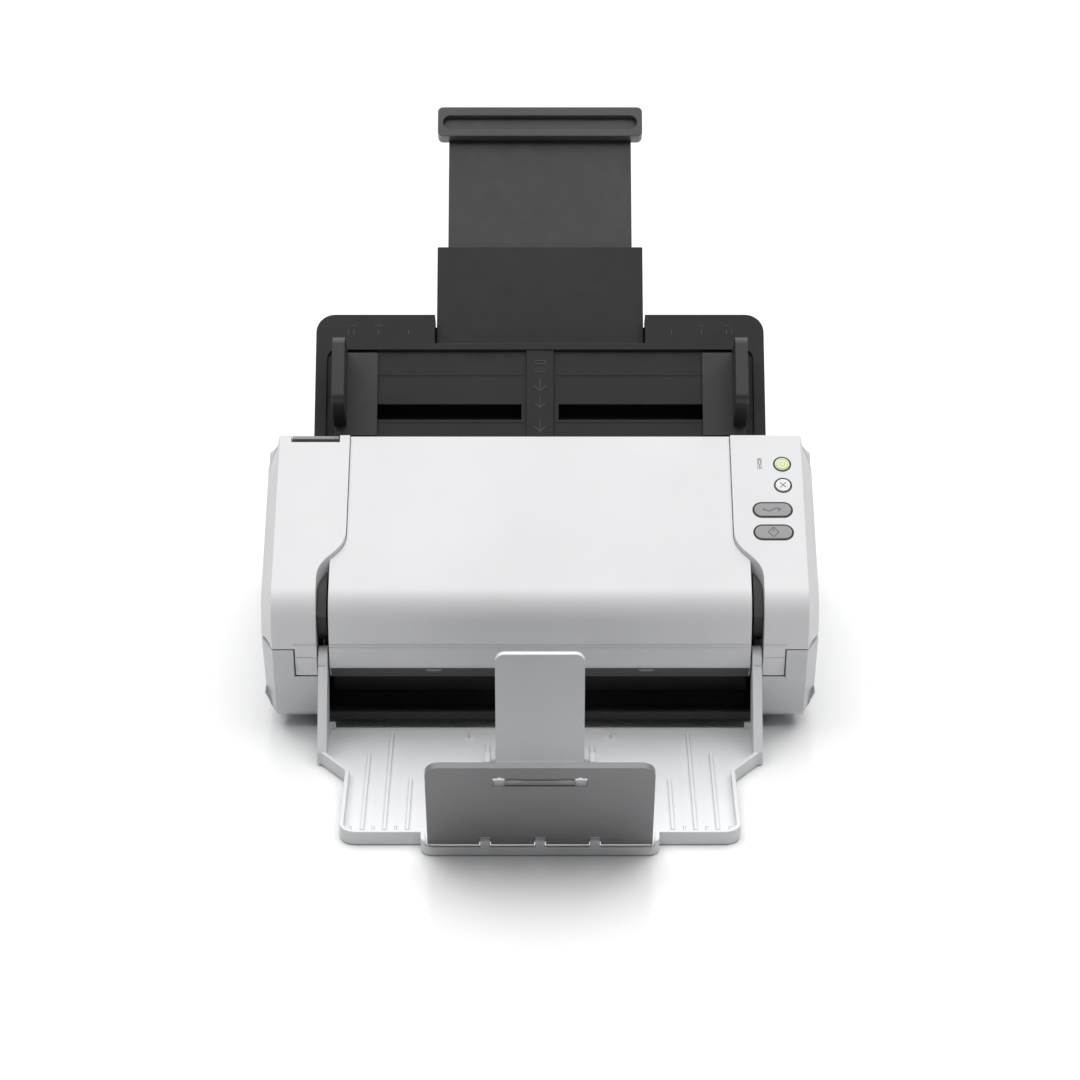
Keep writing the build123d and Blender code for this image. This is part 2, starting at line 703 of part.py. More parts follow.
# ----- motor, its pulley and the belt round the end pulleys
motor_x = -frame_x
with BuildPart() as drive_motor:
    with BuildSketch(path_side(motor_x)):
        with Locations((motor_s, motor_n)):
            Circle(17)
    extrude(amount=34)
with BuildPart() as motor_pulley:
    with BuildSketch(path_side(pulley_x[0])):
        with Locations((motor_s, motor_n)):
            Circle(pulley_radius)
    extrude(amount=pulley_x[1] - pulley_x[0])
    with BuildSketch(path_side(pulley_x[1])):
        with Locations((motor_s, motor_n)):
            Circle(1.5)
    extrude(amount=motor_x - pulley_x[1] - 0.3)
with BuildPart() as drive_belt:
    with BuildSketch(path_side(pulley_x[0] + 0.6)):
        for grown, mode in ((1.6, Mode.ADD), (0.3, Mode.SUBTRACT)):
            with BuildSketch(mode=Mode.PRIVATE) as loop:
                with Locations((eject_s, roller_n), (feed_s, roller_n), (motor_s, motor_n)):
                    Circle(pulley_radius + grown)
                make_hull()
            add(loop.sketch, mode=mode)
    extrude(amount=pulley_x[1] - pulley_x[0] - 1.2)
with BuildPart() as hinge_pins:
    for x in (arm_x - 0.3, -crease_x + wall + 1):
        with BuildSketch(body_side(x)):
            with Locations(hinge):
                Circle(hinge_pin_radius)
        extrude(amount=crease_x - wall - 1 - arm_x + 0.3)

# ----- main board and the sockets on the rear wall
with BuildPart() as main_board:
    with BuildSketch(body_top(foot_height + wall + 8)):
        slab((-70, 62), (70, body_depth - 20))
        with Locations((-60, 70), (60, 70), (-60, 180), (60, 180)):
            Circle(1.6, mode=Mode.SUBTRACT)
    extrude(amount=1.6)
socket_z = foot_height + wall + 9.6
with BuildPart() as rear_sockets:
    with BuildSketch(body_top(socket_z)):
        slab((38, body_depth - 20 - 14 + 12), (52, body_depth - wall - 0.1))
        slab((10, body_depth - 22), (24, body_depth - wall - 0.1))
    extrude(amount=11.4)
    with BuildSketch(Plane(origin=(0, seam_y + body_depth, 0), x_dir=(1, 0, 0), z_dir=(0, -1, 0))):
        with Locations((45, socket_z + 5.7)):
            Circle(3.2)
        with Locations((17, socket_z + 5.7)):
            Rectangle(9, 8)
    extrude(amount=12, mode=Mode.SUBTRACT)

# ----- rear cover: upright wall, and the back that rises behind the document tray
back_end = 66.0
back_low = tray_point(-6.0, -tray_total - 0.4)
back_high = tray_point(back_end, -tray_total - 0.4)


def rear_outline(inset):
    """The rear cover's side view, open below and towards the tray."""
    outline((back_low[0] - 4 * inset, back_low[1] - 8 * inset),
            (back_high[0] - 2 * inset, back_high[1] - 3 * inset),
            (back_high[0] + 14 - inset, back_high[1] - 2 - 1.3 * inset),
            (body_depth - inset, rear_height - inset),
            (body_depth - inset, foot_height + wall - 2 * inset),
            (back_low[0] - 4 * inset, foot_height + wall - 2 * inset))


with BuildPart() as rear_cover:
    with BuildSketch(body_side(-pan_half)):
        rear_outline(0)
    extrude(amount=2 * pan_half)
    with BuildSketch(body_side(-pan_half + wall)):
        rear_outline(wall)
        slab((0, 0), (back_low[0] + 2, foot_z + 200))
        outline((0, 0), (back_low[0] + 40, 0), (back_low[0] + 40, back_low[1] - 40), back_low, (0, 200))
    extrude(amount=2 * (pan_half - wall), mode=Mode.SUBTRACT)
    with BuildSketch(body_side(-pan_half - 1)):
        slab((0, 0), (back_low[0] + 3, 400))
        outline((0, 0), (body_depth - 40, 0), (body_depth - 40, 60), (0, 60))
    extrude(amount=2 * pan_half + 2, mode=Mode.SUBTRACT)
    with BuildSketch(Plane(origin=(0, seam_y + body_depth + 1, 0), x_dir=(1, 0, 0), z_dir=(0, -1, 0))):
        with Locations((45, socket_z + 5.7)):
            Circle(4.6)
        with Locations((17, socket_z + 5.7)):
            Rectangle(12, 9.6)
        with Locations((-95, socket_z + 5.7)):
            Rectangle(7, 3)
        for row in range(4):
            with Locations((-45, 58 + 7 * row)):
                SlotOverall(46, 3)
    extrude(amount=wall + 2, mode=Mode.SUBTRACT)

# ---------------------------------------------------------------- eject tray unit
with BuildPart() as eject_tray:
    with BuildSketch(body_top(tray_clear)) as tray_plan:
        with BuildLine():
            Polyline((-arm_x - arm_thick + 4, tray_rear), (arm_x + arm_thick - 4, tray_rear),
                     (arm_x + arm_thick, tray_wide_y), (tray_narrow_x, tray_narrow_y),
                     (tray_narrow_x, tray_front), (tongue_x, tray_front), (tongue_x, tongue_front),
                     (-tongue_x, tongue_front), (-tongue_x, tray_front), (-tray_narrow_x, tray_front),
                     (-tray_narrow_x, tray_narrow_y), (-arm_x - arm_thick, tray_wide_y), close=True)
        make_face()
        fillet(vertices().group_by(Axis.Y)[0], 6)
        side_corners = [v for v in vertices()
                        if abs(abs(v.X) - tray_narrow_x) < 0.1 and v.Y < tray_narrow_y - 10]
        fillet(side_corners, 9)
    extrude(amount=tray_rim_height - tray_clear)
    with BuildSketch(body_top(tray_clear + tray_floor)):
        add(tray_plan.sketch.moved(Location((0, -seam_y, 0))))
        offset(amount=-tray_rim, kind=Kind.INTERSECTION)
    extrude(amount=tray_rim_height, mode=Mode.SUBTRACT)
    with BuildSketch(body_top(5.4)):
        slab((-tongue_x + 2.6, tongue_front - 1), (tongue_x - 2.6, tongue_front + 6))
    extrude(amount=5, mode=Mode.SUBTRACT)
    with BuildSketch(body_top(tray_rear_sill)):
        slab((-arm_x + 3, tray_rear - tray_rim - 1), (arm_x - 3, tray_rear + 1))
    extrude(amount=tray_rim_height, mode=Mode.SUBTRACT)
    with BuildSketch(body_top(tray_clear + tray_floor)):
        for x, low, high, thick in ((79.7, -99.3, 0.8, 1.6), (91.1, -99.3, -22.0, 1.6),
                                    (68.0, -99.3, -47.5, 1.6), (inner_rib_x, -99.3, -11.7, 2.0)):
            for side in (-1, 1):
                slab((side * x - thick / 2, low), (side * x + thick / 2, high))
    extrude(amount=1.8)
    with BuildSketch(body_top(tray_clear + tray_floor)):
        for side in (-1, 1):
            slab((side * inner_rib_x - 1.4, inner_stop_y - 5), (side * inner_rib_x + 1.4, inner_stop_y + 5))
    extrude(amount=5.4)
    with BuildSketch(body_side(-inner_rib_x - 2)):
        with Locations((inner_stop_y, inner_stop_axis)):
            Circle(1.3)
    extrude(amount=2 * inner_rib_x + 4, mode=Mode.SUBTRACT)
    for x in (-lug_spacing, 0, lug_spacing):
        with BuildSketch(body_side(x - lug_width / 2)):
            with Locations((front_stop_y, front_stop_axis)):
                Circle(2.6)
            outline((front_stop_y - 2.6, tray_clear + 1), (front_stop_y + 2.6, tray_clear + 1),
                    (front_stop_y + 2.6, front_stop_axis), (front_stop_y - 2.6, front_stop_axis))
            with Locations((front_stop_y, front_stop_axis)):
                Circle(1.2, mode=Mode.SUBTRACT)
        extrude(amount=lug_width)
    for x in (arm_x, -arm_x - arm_thick):
        with BuildSketch(body_side(x)):
            with Locations(hinge):
                Circle(arm_end_radius)
            outline((hinge[0] - arm_end_radius, hinge[1] + 1), (hinge[0] + 5.6, hinge[1] - 5.6),
                    (-3.0, tray_clear), (tray_wide_y - 3, tray_clear), (tray_wide_y - 3, tray_rim_height))
            with Locations(hinge):
                Circle(hinge_pin_radius + running, mode=Mode.SUBTRACT)
        extrude(amount=arm_thick)

knuckle = 2.2
with BuildPart() as inner_stopper:
    with BuildSketch(body_side(-inner_stop_size[0] / 2)):
        with Locations((inner_stop_y, inner_stop_axis)):
            Circle(knuckle)
        slab((inner_stop_y - inner_stop_size[2] / 2, inner_stop_axis),
             (inner_stop_y + inner_stop_size[2] / 2, inner_stop_axis + inner_stop_size[1] - knuckle))
        with Locations((inner_stop_y, inner_stop_axis)):
            Circle(1.3 + running, mode=Mode.SUBTRACT)
    extrude(amount=inner_stop_size[0])
    fillet(edges().filter_by(Axis.Y).group_by(Axis.Z)[-1], 5)

with BuildPart() as front_stopper:
    with BuildSketch(body_side(-front_stop_size[0] / 2)):
        with Locations((front_stop_y, front_stop_axis)):
            Circle(2.6)
        with Locations(Location((front_stop_y, front_stop_axis), front_stop_lean)):
            with Locations((0, front_stop_size[1] / 2)):
                Rectangle(front_stop_size[2], front_stop_size[1])
        with Locations((front_stop_y, front_stop_axis)):
            Circle(1.2 + running, mode=Mode.SUBTRACT)
    extrude(amount=front_stop_size[0])
    stopper_face = Plane(origin=(0, seam_y + front_stop_y, front_stop_axis), x_dir=(1, 0, 0),
                         z_dir=(0, cos(lean), sin(lean)))
    with BuildSketch(stopper_face):
        with Locations((0, -front_stop_size[1] + 11)):
            Rectangle(47, 7)
        with Locations((-lug_spacing, 0), (0, 0), (lug_spacing, 0)):
            Rectangle(lug_width + 0.8, 9)
    extrude(amount=8, both=True, mode=Mode.SUBTRACT)
    corners = edges().filter_by(lambda e: abs(e.length - front_stop_size[2]) < 0.01)
    fillet(corners.group_by(Axis.Z)[-1], 7)
with BuildPart() as stopper_pins:
    with BuildSketch(body_side(-inner_rib_x - 1.4)):
        with Locations((inner_stop_y, inner_stop_axis)):
            Circle(1.3)
    extrude(amount=2 * inner_rib_x + 2.8)
    with BuildSketch(body_side(-front_stop_size[0] / 2 + 8)):
        with Locations((front_stop_y, front_stop_axis)):
            Circle(1.2)
    extrude(amount=front_stop_size[0] - 16)

# ---------------------------------------------------------------- document tray
with BuildPart() as document_tray:
    with BuildSketch(tray_face(-4.0)):
        with BuildSketch(mode=Mode.PRIVATE) as tray_shape:
            slab((-tray_half, 0), (tray_half, tray_length))
            fillet(tray_shape.vertices().group_by(Axis.Y)[-1], tray_corner)
        add(tray_shape.sketch)
    extrude(amount=4.0)
    with BuildSketch(tray_face(-tray_total)):
        add(tray_shape.sketch)
        with Locations((0, tray_length / 2 - 5)):
            Rectangle(2 * tray_half - 2 * wall, tray_length + 5, mode=Mode.SUBTRACT)
    extrude(amount=tray_total - 4.0)
    with BuildSketch(tray_face(-tray_recess - tray_skin)):
        with Locations((0, tray_length / 2 - tray_band - 10 - 3)):
            Rectangle(2 * tray_half - 2 * wall, tray_length - tray_band + 16)
    extrude(amount=-1, mode=Mode.SUBTRACT)
    with BuildSketch(tray_face(-tray_recess)):
        with BuildSketch(mode=Mode.PRIVATE) as recess:
            slab((-tray_recess_half, -4), (tray_recess_half, tray_length - tray_band))
            fillet(recess.vertices().group_by(Axis.Y)[-1], 5)
        add(recess.sketch)
    extrude(amount=4, mode=Mode.SUBTRACT)
    with BuildSketch(tray_face(-tray_recess)):
        slab((-strip_half, 0), (strip_half, tray_length - tray_band))
    extrude(amount=strip_height)
    with BuildSketch(tray_face(rack_layer[0] - 0.2)):
        with Locations((0, pinion_a)):
            Circle(post_radius)
    extrude(amount=-rack_layer[0] + 0.2 - tray_recess)
    with BuildSketch(tray_face(-tray_total - 1)):
        slab((-notch_half, tray_length - notch_depth), (notch_half, tray_length + 5))
        for side in (-1, 1):
            slab(tuple(sorted((side * slot_inner, side * slot_outer)))[:1] + (slot_low,),
                 tuple(sorted((side * slot_inner, side * slot_outer)))[1:] + (slot_high,))
    extrude(amount=tray_total + 4, mode=Mode.SUBTRACT)

with BuildPart() as tray_back:
    with BuildSketch(tray_face(-tray_total)):
        slab((-tray_half + wall + 0.2, 2), (tray_half - wall - 0.2, tray_length - wall - 0.2))
        fillet(vertices().group_by(Axis.Y)[-1], tray_corner - wall)
    extrude(amount=1.6)
    with BuildSketch(tray_face(-tray_total + 1.6)):
        for side in (-1, 1):
            rail = side * (lower_ext_half + 1.6)
            slab((rail - 1.2, 24), (rail + 1.2, tray_length - notch_depth))
    extrude(amount=tray_total - 1.6 + rack_layer[0] - 0.4)

with BuildPart() as lower_extension:
    with BuildSketch(tray_face(lower_ext_layer[0])):
        slab((-lower_ext_half, lower_ext_end[0]), (lower_ext_half, lower_ext_end[1]))
    extrude(amount=lower_ext_layer[1] - lower_ext_layer[0])
    with BuildSketch(tray_face(lower_ext_layer[1] - lower_ext_skin)):
        slab((-upper_ext_half - 0.6, lower_ext_end[0] - 1),
             (upper_ext_half + 0.6, lower_ext_end[1] + 1))
    extrude(amount=-10, mode=Mode.SUBTRACT)
with BuildPart() as upper_extension:
    with BuildSketch(tray_face(upper_ext_layer[0])):
        slab((-upper_ext_half, upper_ext_end[0]), (upper_ext_half, upper_ext_end[1]))
    extrude(amount=upper_ext_layer[1] - upper_ext_layer[0])
with BuildPart() as tray_grip:
    with BuildSketch(tray_face(grip_layer[0])):
        with BuildSketch(mode=Mode.PRIVATE) as grip_shape:
            slab((-grip_half, upper_ext_end[1]), (grip_half, grip_top))
            fillet(grip_shape.vertices(), 3)
        add(grip_shape.sketch)
    extrude(amount=grip_layer[1] - grip_layer[0])
    with BuildSketch(tray_face(grip_layer[1] - 3.4)):
        with Locations((0, upper_ext_end[1] + 8.4)):
            SlotOverall(2 * grip_half - 6, 8.6)
    extrude(amount=10, mode=Mode.SUBTRACT)

# ----- paper guides, their racks and the pinion between them
pitch = pi * rack_module
pitch_radius = rack_module * pinion_teeth / 2
rack_line = pinion_a - pitch_radius
rack_teeth = ceil((half_sheet + 8) / pitch)


def rack_teeth_points():
    """The toothed edge of the lower rack, with a gap under the pinion's axis."""
    points = []
    for k in range(rack_teeth):
        x = (k - 2.5) * pitch
        points += [(x - 0.30 * pitch, rack_line - rack_module),
                   (x - 0.13 * pitch, rack_line + 0.7 * rack_module),
                   (x + 0.13 * pitch, rack_line + 0.7 * rack_module),
                   (x + 0.30 * pitch, rack_line - rack_module)]
    return points


def paper_guide(side):
    """A guide's wall, foot and leg on one side, with the rack that its leg carries."""
    with BuildSketch(tray_side(side * half_sheet)) as guide_wall_face:
        with BuildSketch(mode=Mode.PRIVATE) as blade:
            outline((guide_end[0], -tray_recess + guide_lift), (guide_end[1], -tray_recess + guide_lift),
                    (guide_end[1], guide_height), (guide_end[0] + 6, guide_height))
            fillet(blade.vertices().group_by(Axis.Y)[-1], 5)
        add(blade.sketch)
    extrude(guide_wall_face.sketch, amount=side * guide_wall)
    with BuildSketch(tray_face(-tray_recess + guide_lift)) as foot:
        slab((half_sheet - guide_plate_width, guide_plate_end[0]),
             (half_sheet + guide_wall, guide_plate_end[1]))
        if side < 0:
            mirror(about=Plane.YZ, mode=Mode.REPLACE)
    extrude(foot.sketch, amount=guide_plate_thick)
    with BuildSketch(tray_face(rack_layer[1])) as leg:
        slab((half_sheet - 8, slot_low + 1), (half_sheet, slot_high - 1))
        if side < 0:
            mirror(about=Plane.YZ, mode=Mode.REPLACE)
    extrude(leg.sketch, amount=-tray_recess + guide_lift - rack_layer[1])
    with BuildSketch(tray_face(rack_layer[0])) as rack:
        toothed = rack_teeth_points()
        rack_end = max(toothed[-1][0], half_sheet)
        outline((toothed[0][0], rack_line - rack_width), *toothed,
                (rack_end, rack_line - rack_module), (rack_end, rack_line - rack_width))
        slab((half_sheet - 8, rack_line - rack_width), (half_sheet, slot_high - 1))
    if side < 0:
        half_turn = Axis((0, seam_y + tray_point(pinion_a, 0)[0], tray_point(pinion_a, 0)[1]),
                         (0, -sin(tau), cos(tau)))
        extrude(rack.sketch.rotate(half_turn, 180), amount=rack_layer[1] - rack_layer[0])
    else:
        extrude(rack.sketch, amount=rack_layer[1] - rack_layer[0])


with BuildPart() as right_guide:
    paper_guide(1)
with BuildPart() as left_guide:
    paper_guide(-1)


def pinion_outline():
    """The pinion's edge about its own axis, each tooth a narrow trapezium."""
    points = []
    for k in range(pinion_teeth):
        for r, half in ((pitch_radius - 1.1, 9.3), (pitch_radius, 6.0), (pitch_radius + 0.75, 3.2),
                        (pitch_radius + 0.75, -3.2), (pitch_radius, -6.0), (pitch_radius - 1.1, -9.3)):
            turn = radians(k * 360 / pinion_teeth - half)
            points.append((r * cos(turn), pinion_a + r * sin(turn)))
    return points


with BuildPart() as guide_pinion:
    with BuildSketch(tray_face(rack_layer[0])):
        with Locations((0, pinion_a)):
            Circle(pitch_radius - 1.1)
        outline(*pinion_outline())
        with Locations((0, pinion_a)):
            Circle(post_radius + running, mode=Mode.SUBTRACT)
    extrude(amount=rack_layer[1] - rack_layer[0])

# ----- screws that hold the board to the floor pan
with BuildPart() as board_screws:
    with BuildSketch(body_top(foot_height + wall + 1)):
        with Locations((-60, 70), (60, 70), (-60, 180), (60, 180)):
            Circle(1.4)
    extrude(amount=8.6)
    with BuildSketch(body_top(foot_height + wall + 9.6)):
        with Locations((-60, 70), (60, 70), (-60, 180), (60, 180)):
            Circle(2.8)
    extrude(amount=1.8)

# ---------------------------------------------------------------- one file for each piece
pieces = {
    "base_pan": base_pan, "left_side_cover": left_side_cover, "right_side_cover": right_side_cover,
    "rear_cover": rear_cover, "rubber_feet": rubber_feet, "left_side_frame": left_side_frame,
    "right_side_frame": right_side_frame, "shaft_bushes": shaft_bushes, "hinge_pins": hinge_pins,
    "lower_path_guide": lower_path_guide, "exit_wall": exit_wall, "lower_glass": lower_glass,
    "lower_sensor": lower_sensor, "drive_motor": drive_motor, "motor_pulley": motor_pulley,
    "drive_belt": drive_belt, "main_board": main_board, "board_screws": board_screws,
    "rear_sockets": rear_sockets, "eject_shaft": eject_shaft, "lower_shaft": lower_shaft,
    "upper_shaft": upper_shaft, "feed_shaft": feed_shaft, "eject_tyres": eject_tyres,
    "lower_tyres": lower_tyres, "upper_tyres": upper_tyres, "feed_tyres": feed_tyres,
    "centre_cover": centre_cover, "left_front_housing": left_front_housing,
    "right_front_housing": right_front_housing, "upper_path_guide": upper_path_guide,
    "cover_rails": cover_rails, "upper_glass": upper_glass, "upper_sensor": upper_sensor,
    "idler_axles": idler_axles, "eject_idlers": eject_idlers, "lower_idlers": lower_idlers,
    "upper_idlers": upper_idlers, "separation_roller": separation_roller,
    "button_board": button_board, "warning_light": warning_light, "power_button": power_button,
    "stop_button": stop_button, "usb_scan_button": usb_scan_button, "pc_scan_button": pc_scan_button,
    "release_lever": release_lever, "latch_rod": latch_rod, "eject_tray": eject_tray,
    "inner_stopper": inner_stopper, "front_stopper": front_stopper, "stopper_pins": stopper_pins,
    "document_tray": document_tray, "tray_back": tray_back, "lower_extension": lower_extension,
    "upper_extension": upper_extension, "tray_grip": tray_grip, "left_guide": left_guide,
    "right_guide": right_guide, "guide_pinion": guide_pinion,
}
os.makedirs("parts", exist_ok=True)
for name, piece in pieces.items():
    piece.part.label = name
    export_step(piece.part, f"parts/{name}.step")
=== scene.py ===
"""Looks of the sheet-fed document scanner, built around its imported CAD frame.

Metres, X to the right seen from the front, Y to the rear, Z up from the desk.
"""
import math

import bpy
import numpy as np
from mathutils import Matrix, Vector


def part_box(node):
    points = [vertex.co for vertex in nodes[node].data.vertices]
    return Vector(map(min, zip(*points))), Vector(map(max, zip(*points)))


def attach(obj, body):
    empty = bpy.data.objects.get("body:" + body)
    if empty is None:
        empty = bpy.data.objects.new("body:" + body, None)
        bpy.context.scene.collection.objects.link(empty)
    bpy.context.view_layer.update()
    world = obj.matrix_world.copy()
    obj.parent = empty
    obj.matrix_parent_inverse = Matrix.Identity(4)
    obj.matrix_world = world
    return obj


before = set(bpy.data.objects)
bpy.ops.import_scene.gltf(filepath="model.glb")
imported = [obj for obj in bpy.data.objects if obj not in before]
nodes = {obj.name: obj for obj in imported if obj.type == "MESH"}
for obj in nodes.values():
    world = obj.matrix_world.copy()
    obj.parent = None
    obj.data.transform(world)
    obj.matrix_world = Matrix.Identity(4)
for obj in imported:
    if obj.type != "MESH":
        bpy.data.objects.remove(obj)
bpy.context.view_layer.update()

# ---------------------------------------------------------------- camera, desk and studio light
# The camera stands in front of the scanner and looks down at it.  The desk is a plain pale
# lacquered board, lit by one large soft box overhead and a weak room.
seam_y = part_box("right_front_housing")[0].y
camera_back = 1.4406
camera_height = 0.8335
camera_drop = 26.316
camera_lens = 102.33

camera = bpy.data.objects.new("camera", bpy.data.cameras.new("camera"))
bpy.context.collection.objects.link(camera)
camera.data.lens = camera_lens
camera.data.sensor_width = 36.0
camera.location = (0.0, seam_y - camera_back, camera_height)
camera.rotation_euler = (math.radians(90 - camera_drop), 0.0, 0.0)
bpy.context.scene.camera = camera
bpy.context.scene.view_settings.view_transform = "Standard"


def node_tree(name):
    """A new material, its node tree and its shader."""
    material = bpy.data.materials.new(name)
    material.use_nodes = True
    tree = material.node_tree
    return material, tree, tree.nodes["Principled BSDF"]


def wire(tree, source, out, target, into):
    """Joins one node's output to another node's input."""
    tree.links.new(source.outputs[out], target.inputs[into])


desk_material, _, desk_shader = node_tree("desk_lacquer")
desk_shader.inputs["Base Color"].default_value = (0.93, 0.93, 0.93, 1)
desk_shader.inputs["Roughness"].default_value = 0.22
desk_shader.inputs["Specular IOR Level"].default_value = 0.35
desk_half = 9.0
desk_mesh = bpy.data.meshes.new("desk")
desk_mesh.from_pydata([(-desk_half, -desk_half, 0), (desk_half, -desk_half, 0),
                       (desk_half, desk_half, 0), (-desk_half, desk_half, 0)], [], [(0, 1, 2, 3)])
desk_mesh.materials.append(desk_material)
desk = bpy.data.objects.new("desk", desk_mesh)
bpy.context.collection.objects.link(desk)

world = bpy.data.worlds.new("studio")
world.use_nodes = True
world.node_tree.nodes["Background"].inputs["Color"].default_value = (0.93, 0.96, 1.0, 1)
world.node_tree.nodes["Background"].inputs["Strength"].default_value = 0.08
bpy.context.scene.world = world


def soft_box(name, place, target, size, power):
    """A square area light at a place, facing a target."""
    light = bpy.data.lights.new(name, "AREA")
    light.shape = "SQUARE"
    light.size = size
    light.energy = power
    lamp = bpy.data.objects.new(name, light)
    lamp.location = place
    lamp.rotation_euler = (Vector(target) - Vector(place)).to_track_quat("-Z", "Y").to_euler()
    bpy.context.collection.objects.link(lamp)


soft_box("overhead", (0.0, 1.0, 3.0), (0.0, 0.3, 0.0), 6.0, 275.0)


# ---------------------------------------------------------------- moulded shell of the body
# The covers and housings are injection-moulded ABS with a fine spark-eroded grain, snapped
# and screwed together.  The pan and the side covers are a shade greyer than the front.
def moulded(name, colour, rough, grain=2200.0, grain_height=0.00002, drift=0.03, spot=14.0,
            specular=0.4):
    """Moulded plastic: colour drifts by a fraction over a slow noise of `spot` waves a metre,
    roughness drifts on a middle noise, and a fine noise of `grain` waves a metre is the bump."""
    material, tree, shader = node_tree(name)
    place = tree.nodes.new("ShaderNodeTexCoord")
    slow = tree.nodes.new("ShaderNodeTexNoise")
    slow.inputs["Scale"].default_value = spot
    slow.inputs["Detail"].default_value = 4.0
    wire(tree, place, "Object", slow, "Vector")
    ramp = tree.nodes.new("ShaderNodeValToRGB")
    ramp.color_ramp.elements[0].position = 0.3
    ramp.color_ramp.elements[1].position = 0.7
    ramp.color_ramp.elements[0].color = (*[c * (1 - drift) for c in colour], 1)
    ramp.color_ramp.elements[1].color = (*[min(1.0, c * (1 + drift)) for c in colour], 1)
    wire(tree, slow, "Fac", ramp, "Fac")
    wire(tree, ramp, "Color", shader, "Base Color")
    middle = tree.nodes.new("ShaderNodeTexNoise")
    middle.inputs["Scale"].default_value = spot * 9
    middle.inputs["Detail"].default_value = 3.0
    wire(tree, place, "Object", middle, "Vector")
    spread = tree.nodes.new("ShaderNodeMapRange")
    spread.inputs["From Min"].default_value = 0.3
    spread.inputs["From Max"].default_value = 0.7
    spread.inputs["To Min"].default_value = rough - 0.05
    spread.inputs["To Max"].default_value = rough + 0.05
    wire(tree, middle, "Fac", spread, "Value")
    wire(tree, spread, "Result", shader, "Roughness")
    fine = tree.nodes.new("ShaderNodeTexNoise")
    fine.inputs["Scale"].default_value = grain
    fine.inputs["Detail"].default_value = 2.0
    wire(tree, place, "Object", fine, "Vector")
    bump = tree.nodes.new("ShaderNodeBump")
    bump.inputs["Strength"].default_value = 0.6
    bump.inputs["Distance"].default_value = grain_height
    wire(tree, fine, "Fac", bump, "Height")
    wire(tree, bump, "Normal", shader, "Normal")
    shader.inputs["Specular IOR Level"].default_value = specular
    return material


def finish_node(name, material, round_edge=0.0003, segments=2):
    """Gives a CAD node its material and softens its edges: its loose triangles are welded and
    those of one flat face joined, every edge sharper than the limit is rounded, and the normals
    follow the large faces."""
    part = nodes[name]
    part.data.materials.clear()
    part.data.materials.append(material)
    part.data.polygons.foreach_set("use_smooth", [True] * len(part.data.polygons))
    weld = part.modifiers.new("weld", "WELD")
    weld.merge_threshold = 0.000002
    merge = part.modifiers.new("merge_flats", "DECIMATE")
    merge.decimate_type = "DISSOLVE"
    merge.angle_limit = math.radians(0.4)
    bevel = part.modifiers.new("round", "BEVEL")
    bevel.width = round_edge
    bevel.segments = segments
    bevel.limit_method = "ANGLE"
    bevel.angle_limit = math.radians(32)
    bevel.use_clamp_overlap = False
    bevel.face_strength_mode = "FSTR_AFFECTED"
    normals = part.modifiers.new("normals", "WEIGHTED_NORMAL")
    normals.use_face_influence = True
    normals.weight = 100


shell_white = moulded("shell_white", (0.77, 0.77, 0.78), 0.42)
shell_grey = moulded("shell_grey", (0.64, 0.65, 0.67), 0.45)
for name in ("centre_cover", "left_front_housing", "right_front_housing"):
    finish_node(name, shell_white)
for name in ("left_side_cover", "right_side_cover", "rear_cover"):
    finish_node(name, shell_grey)

# ---------------------------------------------------------------- inner frame and paper path
# Side frames, guide plates and sensor bars are black glass-filled plastic, moulded plain.
frame_black = moulded("frame_black", (0.040, 0.040, 0.042), 0.5, drift=0.15)
for name in ("left_side_frame", "right_side_frame", "lower_path_guide", "upper_path_guide",
             "cover_rails", "exit_wall", "lower_sensor", "upper_sensor", "base_pan"):
    finish_node(name, frame_black, 0.0002)

# ---------------------------------------------------------------- document tray and extensions
# The tray at the back and its two slide-out leaves are dark grey ABS with a satin grain.  The
# upper leaf and the paper guides share a little lighter grey, painted highlight for the bright
# front edges of the guides, and the grip bar is lighter still.
tray_black = moulded("tray_black", (0.022, 0.022, 0.023), 0.5, drift=0.12, specular=0.28)
# Lighter than the tray: painted highlight for the bright front edges of the guides.
guide_highlight_grey = moulded("guide_highlight_grey", (0.040, 0.040, 0.041), 0.42, drift=0.1)
for name in ("document_tray", "tray_back", "lower_extension"):
    finish_node(name, tray_black)
finish_node("upper_extension", guide_highlight_grey)
for name in ("left_guide", "right_guide"):
    finish_node(name, guide_highlight_grey)
grip_grey = moulded("grip_grey", (0.066, 0.067, 0.067), 0.4, drift=0.1)
finish_node("tray_grip", grip_grey, 0.0003)

# ---------------------------------------------------------------- eject tray and stoppers
# The tray that catches the sheets is pale grey ABS; the front stopper's darker grey is painted
# shade, for the shade on its forward-leaning face.
tray_light = moulded("tray_light", (0.73, 0.74, 0.75), 0.45)
# Darkened grey: painted shade for the front stopper's forward-leaning face. The release lever, the
# exit pads and the latch share it.
stopper_grey = moulded("stopper_grey", (0.22, 0.22, 0.226), 0.4, drift=0.08)
finish_node("eject_tray", tray_light)
finish_node("inner_stopper", tray_light)
finish_node("front_stopper", stopper_grey)
finish_node("release_lever", stopper_grey)

# ---------------------------------------------------------------- buttons
# The caps are moulded ABS that slide in the right housing: grey for the two scan buttons, white
# for stop and pale green for power.  The warning light is a small pale window beside them.
button_grey = moulded("button_grey", (0.31, 0.31, 0.316), 0.38)
button_white = moulded("button_white", (0.82, 0.82, 0.82), 0.35)
button_green = moulded("button_green", (0.80, 0.86, 0.62), 0.3)
finish_node("pc_scan_button", button_grey)
finish_node("usb_scan_button", button_grey)
finish_node("stop_button", button_white)
finish_node("power_button", button_green)
lens = moulded("lens", (0.80, 0.80, 0.81), 0.3)
finish_node("warning_light", lens, 0.0002)

